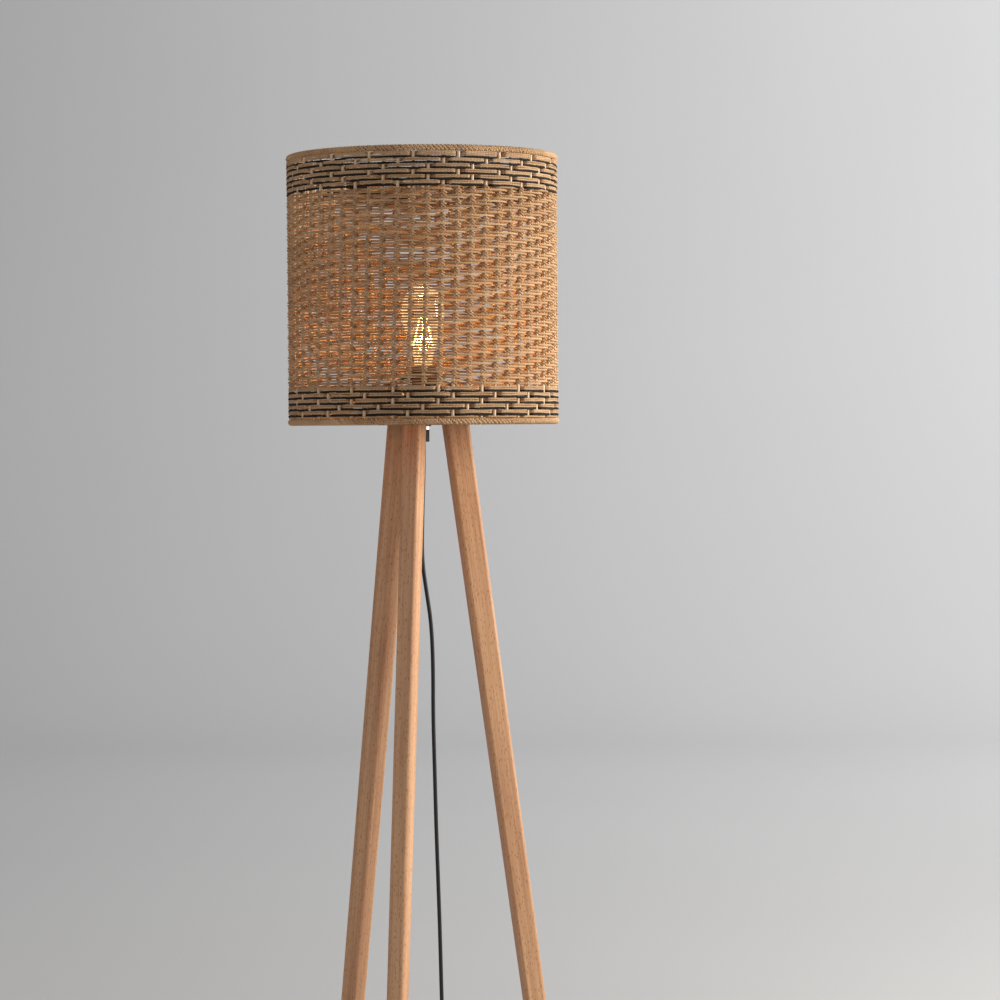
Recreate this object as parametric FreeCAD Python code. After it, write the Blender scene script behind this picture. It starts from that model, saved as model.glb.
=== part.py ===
import FreeCAD
import Part
import math
import os

Vector = FreeCAD.Vector

# Tripod floor lamp with a woven twine drum shade, in millimetres.
# Origin on the floor under the lamp's axis, +Z up, the front leg towards -Y.

# ---------------------------------------------------------------- driving dimensions
RIM_HEIGHT = 1000.0          # floor to the shade's lower edge, level with the hub disc's underside

# tripod legs: rounded rectangular beech bars that taper towards the foot
LEG_AZIMUTHS = {"leg_front": -90.0, "leg_right": 30.0, "leg_left": 150.0}
LEG_TILT = 7.6               # degrees off the vertical
LEG_TOP_RADIUS = 49.0        # leg's centre line to the lamp's axis at the disc
LEG_TOP_RADIAL = 38.0
LEG_TOP_TANGENT = 28.0
LEG_FOOT_RADIAL = 31.0
LEG_FOOT_TANGENT = 26.0
LEG_CORNER = 6.0
LEG_FOOT_CHAMFER = 1.5
PAD_RADIUS = 10.0            # felt glides under the feet
PAD_THICKNESS = 3.0

# hub disc
DISC_RADIUS = 70.0
DISC_THICKNESS = 25.0
DISC_EDGE = 2.5

# screws, inserts and dowels that hold each leg to the disc
BOLT_CIRCLE = 44.0
BOLT_RADIUS = 3.0
BOLT_LENGTH = 34.0
BOLT_HEAD_RADIUS = 5.0
BOLT_HEAD_HEIGHT = 6.0
BOLT_SOCKET_FLATS = 5.0
BOLT_SOCKET_DEPTH = 3.0
BOLT_WASHER_RADIUS = 6.0
BOLT_WASHER_THICKNESS = 1.2
COUNTERBORE_DEPTH = 9.0
COUNTERBORE_CLEARANCE = 0.8
BOLT_CLEARANCE = 0.3
INSERT_RADIUS = 5.0
INSERT_LENGTH = 22.0
DOWEL_CIRCLE = 59.0
DOWEL_RADIUS = 3.0
DOWEL_LENGTH = 24.0
FIT_GAP = 0.05               # radial gap between a thread or pin and its hole
HOLE_EXTRA = 1.0             # blind holes run this much deeper than what they hold

# threaded tube through the disc, with its washers, nut and cord grip
TUBE_RADIUS = 4.95
TUBE_BORE = 3.75
WASHER_RADIUS = 11.0
WASHER_THICKNESS = 1.5
NUT_FLATS = 17.0
NUT_HEIGHT = 5.5
GRIP_RADIUS = 8.3
GRIP_LENGTH = 18.0
GRIP_THREAD_DEPTH = 8.0
GRIP_SCREW_RADIUS = 2.0
GRIP_SCREW_LENGTH = 5.6
GRIP_SCREW_DROP = 12.5       # below the top of the grip
GRIP_EDGE = 1.2
SLOT_LENGTH = 5.0            # screwdriver slot across the grip's screw
SLOT_SIZE = 0.8
TUBE_RISE = 0.5              # threaded tube above the lampholder's boss
RISER_SETBACK = 6.0          # end of the cord's sheath below the tube's top

# lampholder for an E27 bulb
HOLDER_RADIUS = 19.25
HOLDER_BASE_HEIGHT = 20.0
HOLDER_BODY_HEIGHT = 39.5
HOLDER_WALL = 2.2
HOLDER_FLOOR = 4.0
BOSS_RADIUS = 8.0
BOSS_HEIGHT = 10.0
INSULATOR_THICKNESS = 8.0
SHELL_RADIUS = 13.5          # inside of the threaded metal shell
SHELL_WALL = 0.5
SHELL_HEIGHT = 25.0
TERMINAL_OFFSET = 8.0
TERMINAL_SIZE = 5.0
TERMINAL_HEIGHT = 7.0
TERMINAL_HOLE_DEPTH = 4.0
TERMINAL_SCREW_LEVEL = 5.0   # above the terminal's underside
TERMINAL_SCREW_RADIUS = 1.6
TERMINAL_SCREW_RISE = 1.5
HOLDER_CHAMFER = 3.0
MOUTH_EDGE = 1.0
MOUTH_FLARE = 1.5
LEAF_THICKNESS = 0.4         # brass leaf that presses on the bulb's tip
LEAF_HALF_WIDTH = 2.5
LEAF_START = -9.0
LEAF_BEND = -5.5
LEAF_CREST = -2.0
LEAF_END = 3.5
LEAF_GAP = 0.3
CORE_RADIUS = 0.9
CORE_OFFSET = 1.5
CORE_STRAIGHT = 0.8          # cores run on above the tube before they part
CORE_TURN = 0.5              # and turn upright this far below the terminals
CORE_DEPTH = 3.0             # into the terminals

# shade rings on the lampholder and the spider they clamp
SHADE_RING_RADIUS = 27.0
SHADE_RING_HEIGHT = 6.0
FLUTE_COUNT = 24             # finger flutes round a shade ring
FLUTE_RADIUS = 1.2
FLUTE_OUTSET = 0.6
LOWER_RING_HEIGHT = 37.5     # above the underside of the lampholder
FITTER_RADIUS = 31.0
FITTER_THICKNESS = 1.5
ARM_RADIUS = 2.0
ARM_LAP = 2.5                # arms reach this far over the fitter ring
ARM_AZIMUTHS = (90.0, 210.0, 330.0)

# shade: wire rings with twine wound over them, round cane stakes and woven twine
SHADE_HEIGHT = 400.0
SHADE_RADIUS = 202.0
RIM_WRAP_HEIGHT = 10.0
RIM_WRAP_THICKNESS = 10.5
RIM_WRAP_EDGE = 3.5
RING_WIRE_RADIUS = 2.5
BOTTOM_BAND_HEIGHT = 45.0
TOP_BAND_HEIGHT = 49.5
WEAVE_OUTSET = 0.5           # the woven wall's outside lies this far inside the rims' outside
BAND_THICKNESS = 2.7
PANEL_THICKNESS = 2.4
STAKE_COUNT = 57
STAKE_RADIUS = 2.45
STAKE_GAP = 0.3              # between the stakes and the twine outside them
STAKE_START = 1.4            # azimuth of the first stake's foot, in degrees
STAKE_TWIST = 3.4            # degrees that each stake's top is turned past its foot

# bulb: pear-shaped clear envelope on a screw cap
CAP_RADIUS = 13.2
CAP_HEIGHT = 22.0
CAP_WALL = 0.6
CAP_SETBACK = 2.0            # cap's upper edge below the lampholder's mouth
BULB_INSULATOR_HEIGHT = 4.0
TIP_RADIUS = 4.5
TIP_HEIGHT = 1.4
TIP_GAP = 0.3                # solder tip to the insulator
INSULATOR_RIM = 0.5          # insulator round the tip
INSULATOR_SLOPE = 3.5        # and inside the cap's edge at its upper end
SEAT_HEIGHT = 1.5
BULB_HEIGHT = 125.0          # glass only
BULB_RADIUS = 32.0
GLASS_WALL = 0.8
STEM_RADIUS = 4.0
STEM_HEIGHT = 40.0
STEM_FLARE_RADIUS = 10.0
STEM_FLARE_HEIGHT = 14.0
STEM_CROWN = 1.5
FILAMENT_RADIUS = 1.0
FILAMENT_COUNT = 4
FILAMENT_START = 20.0        # azimuth of the first filament, in degrees
FILAMENT_FOOT = (14.5, 34.0) # radius, and height above the cap
FILAMENT_HEAD = (5.5, 74.0)

# cord with its foot switch and plug
CORD_RADIUS = 3.0
CORD_GAP = 0.05
COIL_CENTRE = (-80.0, -45.0)
COIL_RADIUS = 33.0           # to the middle of the turns
COIL_LANES = 3
COIL_LAYERS = 2

SWITCH_CENTRE = (84.0, -68.0)
SWITCH_HEADING = -120.0      # degrees from +X to the way the cord leaves
SWITCH_LENGTH = 86.0
SWITCH_WIDTH = 44.0
SWITCH_BASE_HEIGHT = 5.0
SWITCH_COVER_HEIGHT = 17.0
SWITCH_WALL = 2.0
SWITCH_CORNER = 12.0
BUTTON_RADIUS = 13.0
BUTTON_RISE = 4.5            # above the cover
BUTTON_FLANGE = 2.0          # thickness of the flange under the cover, and its width
BUTTON_CLEARANCE = 0.4
BUTTON_EDGE = 2.0
FLANGE_GAP = 0.3             # flange to the cover's inside
COVER_EDGE = 6.0
COVER_INNER_EDGE = 4.5
SPRING_RADIUS = 5.0
SPRING_WIRE = 0.5
SPRING_PITCH = 2.0
SPRING_GAP = 0.1
BLOCK_SIZE = (24.0, 18.0, 4.0)
CONTACT_SIZE = (4.0, 6.0, 3.0)
CONTACT_GAP = 1.0            # contact strips to the block
SWITCH_CORD_HEIGHT = 10.0
SLEEVE_LENGTH = 22.0
SLEEVE_BUTT = 5.6
SLEEVE_TIP = 4.1
END_HOLE_RADIUS = 4.6
SCREW_OFFSET = 33.0
SCREW_POCKET = 7.0           # from a screw to the end walls that hold the cord
SCREW_RADIUS = 1.5
SCREW_HEAD_RADIUS = 3.0
SCREW_HEAD_HEIGHT = 2.0
SCREW_HEAD_TOP = 2.5         # above the floor, so that the heads are sunk

PLUG_START = (-31.0, 64.0)   # where the cord enters the plug's sleeve
PLUG_HEADING = 88.0
PLUG_LENGTH = 38.0
PLUG_WIDTH = 35.0
PLUG_THICKNESS = 13.7
PLUG_NECK_WIDTH = 15.0
PLUG_NECK_THICKNESS = 11.0
PLUG_TAPER_LENGTH = 20.0
PIN_SPACING = 19.0
PIN_RADIUS = 2.0
PIN_LENGTH = 19.0
PIN_TIP = 1.0
PIN_ROOT = 12.0              # thicker root of each pin, moulded into the body
PIN_ROOT_RADIUS = 2.6
PLUG_CORNER = 4.0
PLUG_CORD_DEPTH = 8.0

# the cord's route, point by point, from the grip to the foot switch
DROP_ROUTE = [
    (-0.8, 0.6, 935.0),
    (-3.7, 2.0, 870.0),
    (-6.0, 4.5, 800.0),
    (-0.4, 8.7, 752.0),
    (5.9, 12.1, 703.0),
    (7.7, 13.7, 640.0),
    (7.4, 12.5, 565.0),
    (9.6, 11.1, 485.0),
    (11.3, 10.5, 405.0),
    (14.0, 9.2, 325.0),
    (16.1, 9.8, 245.0),
    (16.9, 12.2, 165.0),
    (17.6, 14.4, 108.0),
    (20.0, 17.0, 66.0),
    (28.0, 22.5, 37.5),
    (44.5, 33.5, 15.5),
    (66.0, 45.5, 4.6),
    (89.0, 52.0, 3.0),
    (111.0, 45.0, 3.0),
    (124.8, 27.6, 3.8),
    (126.4, 5.8, 6.8),
]
# from the foot switch to the coil
LEAD_ROUTE = [
    (41.5, -141.8, 6.8),
    (22.5, -151.5, 3.4),
    (1.0, -151.5, 3.0),
    (-17.5, -140.5, 3.0),
    (-28.5, -121.5, 3.0),
    (-34.5, -98.0, 3.0),
    (-39.5, -72.0, 3.0),
]
# from the top of the coil to the plug
TAIL_ROUTE = [
    (-40.6, -20.0, 8.2),
    (-39.4, 1.0, 5.0),
    (-36.6, 22.0, 3.2),
    (-33.6, 42.0, 4.8),
]

# ---------------------------------------------------------------- levels that follow from the sizes
RIM_TOP = RIM_HEIGHT + SHADE_HEIGHT
DISC_TOP = RIM_HEIGHT + DISC_THICKNESS
NUT_TOP = RIM_HEIGHT - WASHER_THICKNESS
GRIP_TOP = NUT_TOP - NUT_HEIGHT
CORD_EXIT = GRIP_TOP - GRIP_LENGTH
HOLDER_BOTTOM = DISC_TOP + WASHER_THICKNESS
BODY_BOTTOM = HOLDER_BOTTOM + HOLDER_BASE_HEIGHT
HOLDER_TOP = BODY_BOTTOM + HOLDER_BODY_HEIGHT
TUBE_TOP = HOLDER_BOTTOM + BOSS_HEIGHT + TUBE_RISE
INSULATOR_TOP = BODY_BOTTOM + INSULATOR_THICKNESS
CAP_TOP = HOLDER_TOP - CAP_SETBACK
CAP_BOTTOM = CAP_TOP - CAP_HEIGHT
TIP_TOP = CAP_BOTTOM - BULB_INSULATOR_HEIGHT
TIP_BOTTOM = TIP_TOP - TIP_HEIGHT
FITTER_BOTTOM = HOLDER_BOTTOM + LOWER_RING_HEIGHT + SHADE_RING_HEIGHT
WEAVE_RADIUS = SHADE_RADIUS - WEAVE_OUTSET
RING_RADIUS = SHADE_RADIUS - RIM_WRAP_THICKNESS / 2.0
BOTTOM_BAND_TOP = RIM_HEIGHT + RIM_WRAP_HEIGHT + BOTTOM_BAND_HEIGHT
TOP_BAND_BOTTOM = RIM_TOP - RIM_WRAP_HEIGHT - TOP_BAND_HEIGHT
COVER_TOP = SWITCH_BASE_HEIGHT + SWITCH_COVER_HEIGHT


# ---------------------------------------------------------------- small geometry helpers
def polar(radius, azimuth, z):
    """Point at a radius and an azimuth in degrees from +X."""
    angle = math.radians(azimuth)
    return Vector(radius * math.cos(angle), radius * math.sin(angle), z)


def post(radius, low, high, x=0.0, y=0.0):
    """Upright cylinder between two levels."""
    return Part.makeCylinder(radius, high - low, Vector(x, y, low))


def collar(inner, outer, low, high):
    """Upright tube about the lamp's axis."""
    return post(outer, low, high).cut(post(inner, low, high))


def rod(start, end, radius):
    """Round rod between two points."""
    return Part.makeCylinder(radius, (end - start).Length, start, end - start)


def turned(profile):
    """Solid turned about the lamp's axis from (radius, height) corners."""
    corners = [Vector(r, 0.0, z) for r, z in profile]
    face = Part.Face(Part.makePolygon(corners + corners[:1]))
    return face.revolve(Vector(0, 0, 0), Vector(0, 0, 1), 360.0)


def rounded_rectangle(length, width, corner, z=0.0):
    """Closed wire in a level plane, centred on the axis, length along X."""
    x = length / 2.0
    y = width / 2.0
    lean = corner * (1.0 - math.sqrt(0.5))
    edges = []
    for sx, sy in ((1, 1), (-1, 1), (-1, -1), (1, -1)):
        along_y = Vector(sx * x, sy * (y - corner), z)
        along_x = Vector(sx * (x - corner), sy * y, z)
        middle = Vector(sx * (x - lean), sy * (y - lean), z)
        first, last = (along_y, along_x) if sx == sy else (along_x, along_y)
        edges.append((first, middle, last))
    path = []
    for here, following in zip(edges, edges[1:] + edges[:1]):
        path.append(Part.Arc(*here).toShape())
        path.append(Part.LineSegment(here[2], following[0]).toShape())
    return Part.Wire(path)


def bar(length, width, corner, low, high):
    """Upright bar with rounded corners."""
    wire = rounded_rectangle(length, width, corner, low)
    return Part.Face(wire).extrude(Vector(0, 0, high - low))


def level_edges(shape, z):
    """Edges of a shape that lie at one level."""
    return [e for e in shape.Edges if abs(e.BoundBox.ZMin - z) < 1e-4 and abs(e.BoundBox.ZMax - z) < 1e-4]


def moved(shape, heading, x, y, z=0.0):
    """Copy turned about Z by a heading and then moved."""
    copy = shape.copy()
    copy.Placement = FreeCAD.Placement(
        Vector(x, y, z), FreeCAD.Rotation(Vector(0, 0, 1), heading)).multiply(copy.Placement)
    return copy


def hexagon(flats, low, high):
    """Upright hexagonal bar across the given flats."""
    radius = flats / math.sqrt(3.0)
    corners = [polar(radius, 60.0 * i, low) for i in range(7)]
    return Part.Face(Part.makePolygon(corners)).extrude(Vector(0, 0, high - low))


def cord_tube(name, points):
    """Round tube along straight runs joined by tangent arcs, each as large as its runs allow."""
    points = [Vector(*p) for p in points]
    edges = []
    start = points[0]
    radii = []
    for before, corner, after in zip(points, points[1:], points[2:]):
        back = before - corner
        ahead = after - corner
        cut = 0.45 * min(back.Length, ahead.Length)
        back.normalize()
        ahead.normalize()
        turn = math.pi - back.getAngle(ahead)
        radius = cut / math.tan(turn / 2.0)
        inward = (back + ahead).normalize()
        centre = corner + inward * (radius / math.cos(turn / 2.0))
        into = corner + back * cut
        out = corner + ahead * cut
        edges.append(Part.LineSegment(start, into).toShape())
        edges.append(Part.Arc(into, centre - inward * radius, out).toShape())
        start = out
        radii.append(radius)
    edges.append(Part.LineSegment(start, points[-1]).toShape())
    path = Part.Wire(edges)
    direction = points[1] - points[0]
    profile = Part.Wire(Part.Circle(points[0], direction, CORD_RADIUS).toShape())
    tube = path.makePipeShell([profile], True, False)
    expected = math.pi * CORD_RADIUS ** 2 * path.Length
    print("%s: length %.0f mm, tightest arc %.0f mm, volume ratio %.4f"
          % (name, path.Length, min(radii), tube.Volume / expected))
    return tube


def group(shapes):
    """Several like solids that share one node."""
    return Part.makeCompound(shapes)


# ---------------------------------------------------------------- tripod
def leg_blank(azimuth):
    """Tapered bar cut level at the disc and at the foot pad."""
    foot_radius = LEG_TOP_RADIUS + (RIM_HEIGHT - PAD_THICKNESS) * math.tan(math.radians(LEG_TILT))
    top = rounded_rectangle(LEG_TOP_RADIAL, LEG_TOP_TANGENT, LEG_CORNER)
    top.translate(Vector(LEG_TOP_RADIUS, 0, RIM_HEIGHT))
    foot = rounded_rectangle(LEG_FOOT_RADIAL, LEG_FOOT_TANGENT, LEG_CORNER)
    foot.translate(Vector(foot_radius, 0, PAD_THICKNESS))
    blank = Part.makeLoft([foot, top], True, True)
    blank = blank.makeChamfer(LEG_FOOT_CHAMFER, level_edges(blank, PAD_THICKNESS))
    return moved(blank, azimuth, 0, 0)


def leg(azimuth):
    """One leg with its insert and dowel holes in the top end."""
    insert = polar(BOLT_CIRCLE, azimuth, 0)
    dowel = polar(DOWEL_CIRCLE, azimuth, 0)
    bolt_reach = max(INSERT_LENGTH, BOLT_LENGTH - (DISC_THICKNESS - COUNTERBORE_DEPTH))
    shape = leg_blank(azimuth)
    shape = shape.cut(post(INSERT_RADIUS, RIM_HEIGHT - INSERT_LENGTH, RIM_HEIGHT, insert.x, insert.y))
    shape = shape.cut(post(BOLT_RADIUS + FIT_GAP, RIM_HEIGHT - bolt_reach - HOLE_EXTRA,
                           RIM_HEIGHT, insert.x, insert.y))
    return shape.cut(post(DOWEL_RADIUS + FIT_GAP, RIM_HEIGHT - DOWEL_LENGTH / 2.0 - HOLE_EXTRA,
                          RIM_HEIGHT, dowel.x, dowel.y))


def tripod():
    """Legs, what fastens them to the disc, and their felt pads."""
    bolts, washers, inserts, dowels, pads = [], [], [], [], []
    head_level = DISC_TOP - COUNTERBORE_DEPTH + BOLT_WASHER_THICKNESS
    seat = DISC_TOP - COUNTERBORE_DEPTH
    pad_radius = LEG_TOP_RADIUS + RIM_HEIGHT * math.tan(math.radians(LEG_TILT))
    nodes = {}
    for name, azimuth in LEG_AZIMUTHS.items():
        nodes[name] = leg(azimuth)
        at = polar(BOLT_CIRCLE, azimuth, 0)
        bolt = post(BOLT_RADIUS, head_level - BOLT_LENGTH, head_level)
        bolt = bolt.fuse(post(BOLT_HEAD_RADIUS, head_level, head_level + BOLT_HEAD_HEIGHT))
        head_top = head_level + BOLT_HEAD_HEIGHT
        bolt = bolt.cut(hexagon(BOLT_SOCKET_FLATS, head_top - BOLT_SOCKET_DEPTH, head_top))
        bolt = bolt.removeSplitter()
        bolts.append(moved(bolt, azimuth, at.x, at.y))
        washer = collar(BOLT_RADIUS + BOLT_CLEARANCE, BOLT_WASHER_RADIUS, seat, head_level)
        washers.append(moved(washer, 0, at.x, at.y))
        insert = collar(BOLT_RADIUS + FIT_GAP, INSERT_RADIUS, RIM_HEIGHT - INSERT_LENGTH, RIM_HEIGHT)
        inserts.append(moved(insert, 0, at.x, at.y))
        peg = polar(DOWEL_CIRCLE, azimuth, 0)
        dowels.append(post(DOWEL_RADIUS, RIM_HEIGHT - DOWEL_LENGTH / 2.0,
                           RIM_HEIGHT + DOWEL_LENGTH / 2.0, peg.x, peg.y))
        foot = polar(pad_radius, azimuth, 0)
        pads.append(post(PAD_RADIUS, 0, PAD_THICKNESS, foot.x, foot.y))
    nodes["leg_bolts"] = group(bolts)
    nodes["leg_washers"] = group(washers)
    nodes["leg_inserts"] = group(inserts)
    nodes["leg_dowels"] = group(dowels)
    nodes["foot_pads"] = group(pads)
    return nodes


def hub():
    """Round disc that ties the legs together and carries the lampholder."""
    disc = post(DISC_RADIUS, RIM_HEIGHT, DISC_TOP)
    disc = disc.makeFillet(DISC_EDGE, level_edges(disc, DISC_TOP) + level_edges(disc, RIM_HEIGHT))
    disc = disc.cut(post(TUBE_RADIUS + FIT_GAP, RIM_HEIGHT, DISC_TOP))
    for azimuth in LEG_AZIMUTHS.values():
        at = polar(BOLT_CIRCLE, azimuth, 0)
        peg = polar(DOWEL_CIRCLE, azimuth, 0)
        disc = disc.cut(post(BOLT_RADIUS + BOLT_CLEARANCE, RIM_HEIGHT, DISC_TOP, at.x, at.y))
        disc = disc.cut(post(BOLT_WASHER_RADIUS + COUNTERBORE_CLEARANCE,
                             DISC_TOP - COUNTERBORE_DEPTH, DISC_TOP, at.x, at.y))
        disc = disc.cut(post(DOWEL_RADIUS + FIT_GAP, RIM_HEIGHT,
                             RIM_HEIGHT + DOWEL_LENGTH / 2.0 + HOLE_EXTRA, peg.x, peg.y))
    return {"hub_disc": disc}


def hub_fittings():
    """Threaded tube through the disc, its washers and nut, and the cord grip under it."""
    nut = hexagon(NUT_FLATS, GRIP_TOP, NUT_TOP)
    corner = NUT_FLATS / math.sqrt(3.0)
    edge = corner - NUT_FLATS / 2.0
    cone = turned([(0, GRIP_TOP), (NUT_FLATS / 2.0, GRIP_TOP), (corner, GRIP_TOP + edge),
                   (corner, NUT_TOP - edge), (NUT_FLATS / 2.0, NUT_TOP), (0, NUT_TOP)])
    nut = nut.common(cone).cut(post(TUBE_RADIUS + FIT_GAP, GRIP_TOP, NUT_TOP))
    grip = post(GRIP_RADIUS, CORD_EXIT, GRIP_TOP)
    grip = grip.makeFillet(GRIP_EDGE, level_edges(grip, CORD_EXIT))
    tube_bottom = GRIP_TOP - GRIP_THREAD_DEPTH
    grip = grip.cut(post(TUBE_RADIUS + FIT_GAP, tube_bottom, GRIP_TOP))
    grip = grip.cut(post(CORD_RADIUS + CORD_GAP, CORD_EXIT, GRIP_TOP))
    screw_level = GRIP_TOP - GRIP_SCREW_DROP
    screw_start = Vector(0, CORD_RADIUS + CORD_GAP, screw_level)
    hole = rod(screw_start, Vector(0, GRIP_RADIUS + 1.0, screw_level), GRIP_SCREW_RADIUS + FIT_GAP)
    screw_end = screw_start + Vector(0, GRIP_SCREW_LENGTH, 0)
    screw = rod(screw_start, screw_end, GRIP_SCREW_RADIUS)
    slot = Part.makeBox(SLOT_LENGTH, SLOT_SIZE, SLOT_SIZE,
                        screw_end + Vector(-SLOT_LENGTH / 2.0, -SLOT_SIZE, -SLOT_SIZE / 2.0))
    tube = collar(TUBE_BORE, TUBE_RADIUS, tube_bottom, TUBE_TOP)
    return {
        "threaded_tube": tube,
        "lower_washer": collar(TUBE_RADIUS + FIT_GAP, WASHER_RADIUS, NUT_TOP, RIM_HEIGHT),
        "upper_washer": collar(TUBE_RADIUS + FIT_GAP, WASHER_RADIUS, DISC_TOP, HOLDER_BOTTOM),
        "hex_nut": nut,
        "cord_grip": grip.cut(hole),
        "grip_screw": screw.cut(slot),
        "cord_riser": post(CORD_RADIUS, CORD_EXIT, TUBE_TOP - RISER_SETBACK),
    }


# ---------------------------------------------------------------- lampholder
def lampholder():
    """Base and body with the insulator, contacts and terminals that they hold."""
    bore = HOLDER_RADIUS - HOLDER_WALL
    base = turned([
        (TUBE_RADIUS + FIT_GAP, HOLDER_BOTTOM), (HOLDER_RADIUS - HOLDER_CHAMFER, HOLDER_BOTTOM),
        (HOLDER_RADIUS, HOLDER_BOTTOM + HOLDER_CHAMFER), (HOLDER_RADIUS, BODY_BOTTOM), (bore, BODY_BOTTOM),
        (bore, HOLDER_BOTTOM + HOLDER_FLOOR), (BOSS_RADIUS, HOLDER_BOTTOM + HOLDER_FLOOR),
        (BOSS_RADIUS, HOLDER_BOTTOM + BOSS_HEIGHT), (TUBE_RADIUS + FIT_GAP, HOLDER_BOTTOM + BOSS_HEIGHT)])
    sleeve = SHELL_RADIUS + SHELL_WALL + FIT_GAP
    body = turned([
        (bore, BODY_BOTTOM), (HOLDER_RADIUS, BODY_BOTTOM), (HOLDER_RADIUS, HOLDER_TOP - MOUTH_EDGE),
        (HOLDER_RADIUS - MOUTH_EDGE, HOLDER_TOP), (sleeve + MOUTH_FLARE, HOLDER_TOP),
        (sleeve, HOLDER_TOP - MOUTH_FLARE),
        (sleeve, INSULATOR_TOP), (bore, INSULATOR_TOP)])
    insulator = post(bore - FIT_GAP, BODY_BOTTOM, INSULATOR_TOP)
    shell = collar(SHELL_RADIUS, SHELL_RADIUS + SHELL_WALL, INSULATOR_TOP, INSULATOR_TOP + SHELL_HEIGHT)
    # spring contact: a brass leaf that rises from the insulator to the bulb's tip
    leaf_top = TIP_BOTTOM - LEAF_GAP
    thick = LEAF_THICKNESS
    leaf_side = [(LEAF_START, INSULATOR_TOP), (LEAF_START, INSULATOR_TOP + thick),
                 (LEAF_BEND, INSULATOR_TOP + thick), (LEAF_CREST, leaf_top), (LEAF_END, leaf_top),
                 (LEAF_END, leaf_top - thick), (LEAF_CREST + thick, leaf_top - thick),
                 (LEAF_BEND + thick, INSULATOR_TOP)]
    corners = [Vector(x, -LEAF_HALF_WIDTH, z) for x, z in leaf_side]
    leaf = Part.Face(Part.makePolygon(corners + corners[:1])).extrude(Vector(0, 2 * LEAF_HALF_WIDTH, 0))
    terminals, screws, cores = [], [], []
    terminal_low = BODY_BOTTOM - TERMINAL_HEIGHT
    for side in (-1, 1):
        x = side * TERMINAL_OFFSET
        block = Part.makeBox(TERMINAL_SIZE, TERMINAL_SIZE, TERMINAL_HEIGHT,
                             Vector(x - TERMINAL_SIZE / 2.0, -TERMINAL_SIZE / 2.0, terminal_low))
        block = block.cut(post(CORE_RADIUS + FIT_GAP, terminal_low,
                               terminal_low + TERMINAL_HOLE_DEPTH, x, 0))
        screw_start = Vector(x + side * TERMINAL_SIZE / 2.0, 0, terminal_low + TERMINAL_SCREW_LEVEL)
        screw_end = screw_start + Vector(side * TERMINAL_SCREW_RISE, 0, 0)
        terminals.append(block)
        screws.append(rod(screw_start, screw_end, TERMINAL_SCREW_RADIUS))
        low = Vector(side * CORE_OFFSET, 0, TUBE_TOP - RISER_SETBACK)
        bend = Vector(side * CORE_OFFSET, 0, TUBE_TOP + CORE_STRAIGHT)
        high = Vector(x, 0, terminal_low - CORE_TURN)
        end = Vector(x, 0, terminal_low + CORE_DEPTH)
        core = rod(low, bend, CORE_RADIUS).fuse(rod(bend, high, CORE_RADIUS))
        core = core.fuse(rod(high, end, CORE_RADIUS))
        core = core.fuse(Part.makeSphere(CORE_RADIUS, bend)).fuse(Part.makeSphere(CORE_RADIUS, high))
        cores.append(core)
    return {
        "holder_base": base,
        "holder_body": body,
        "holder_insulator": insulator,
        "thread_shell": shell,
        "centre_contact": leaf,
        "terminals": group(terminals),
        "terminal_screws": group(screws),
        "core_wires": group(cores),
    }


# ---------------------------------------------------------------- shade frame
def shade_frame():
    """Threaded rings on the lampholder, the spider between them, and the wire cage."""
    thread = HOLDER_RADIUS + FIT_GAP
    lower = HOLDER_BOTTOM + LOWER_RING_HEIGHT
    upper = FITTER_BOTTOM + FITTER_THICKNESS
    rings = {}
    for name, low in (("shade_ring_lower", lower), ("shade_ring_upper", upper)):
        ring = collar(thread, SHADE_RING_RADIUS, low, low + SHADE_RING_HEIGHT)
        for i in range(FLUTE_COUNT):
            at = polar(SHADE_RING_RADIUS + FLUTE_OUTSET, 360.0 * i / FLUTE_COUNT, 0)
            ring = ring.cut(post(FLUTE_RADIUS, low, low + SHADE_RING_HEIGHT, at.x, at.y))
        rings[name] = ring
    bottom_level = RIM_HEIGHT + RIM_WRAP_HEIGHT / 2.0
    top_level = RIM_TOP - RIM_WRAP_HEIGHT / 2.0
    arms = []
    for azimuth in ARM_AZIMUTHS:
        hub_end = polar(FITTER_RADIUS - ARM_LAP, azimuth, FITTER_BOTTOM + FITTER_THICKNESS / 2.0)
        rim_end = polar(RING_RADIUS - RING_WIRE_RADIUS, azimuth, bottom_level)
        arms.append(rod(hub_end, rim_end, ARM_RADIUS))
    axis = Vector(0, 0, 1)
    rings.update({
        "fitter_ring": collar(thread, FITTER_RADIUS, FITTER_BOTTOM, upper),
        "spider_arms": group(arms),
        "bottom_ring": Part.makeTorus(RING_RADIUS, RING_WIRE_RADIUS, Vector(0, 0, bottom_level), axis),
        "top_ring": Part.makeTorus(RING_RADIUS, RING_WIRE_RADIUS, Vector(0, 0, top_level), axis),
    })
    return rings


def rim_wrap(low):
    """Twine wound over a rim wire, as one plain ring round the wire."""
    wrap = collar(SHADE_RADIUS - RIM_WRAP_THICKNESS, SHADE_RADIUS, low, low + RIM_WRAP_HEIGHT)
    rims = level_edges(wrap, low) + level_edges(wrap, low + RIM_WRAP_HEIGHT)
    wrap = wrap.makeFillet(RIM_WRAP_EDGE, rims)
    wire = Part.makeTorus(RING_RADIUS, RING_WIRE_RADIUS + FIT_GAP,
                          Vector(0, 0, low + RIM_WRAP_HEIGHT / 2.0), Vector(0, 0, 1))
    return wrap.cut(wire)


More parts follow.
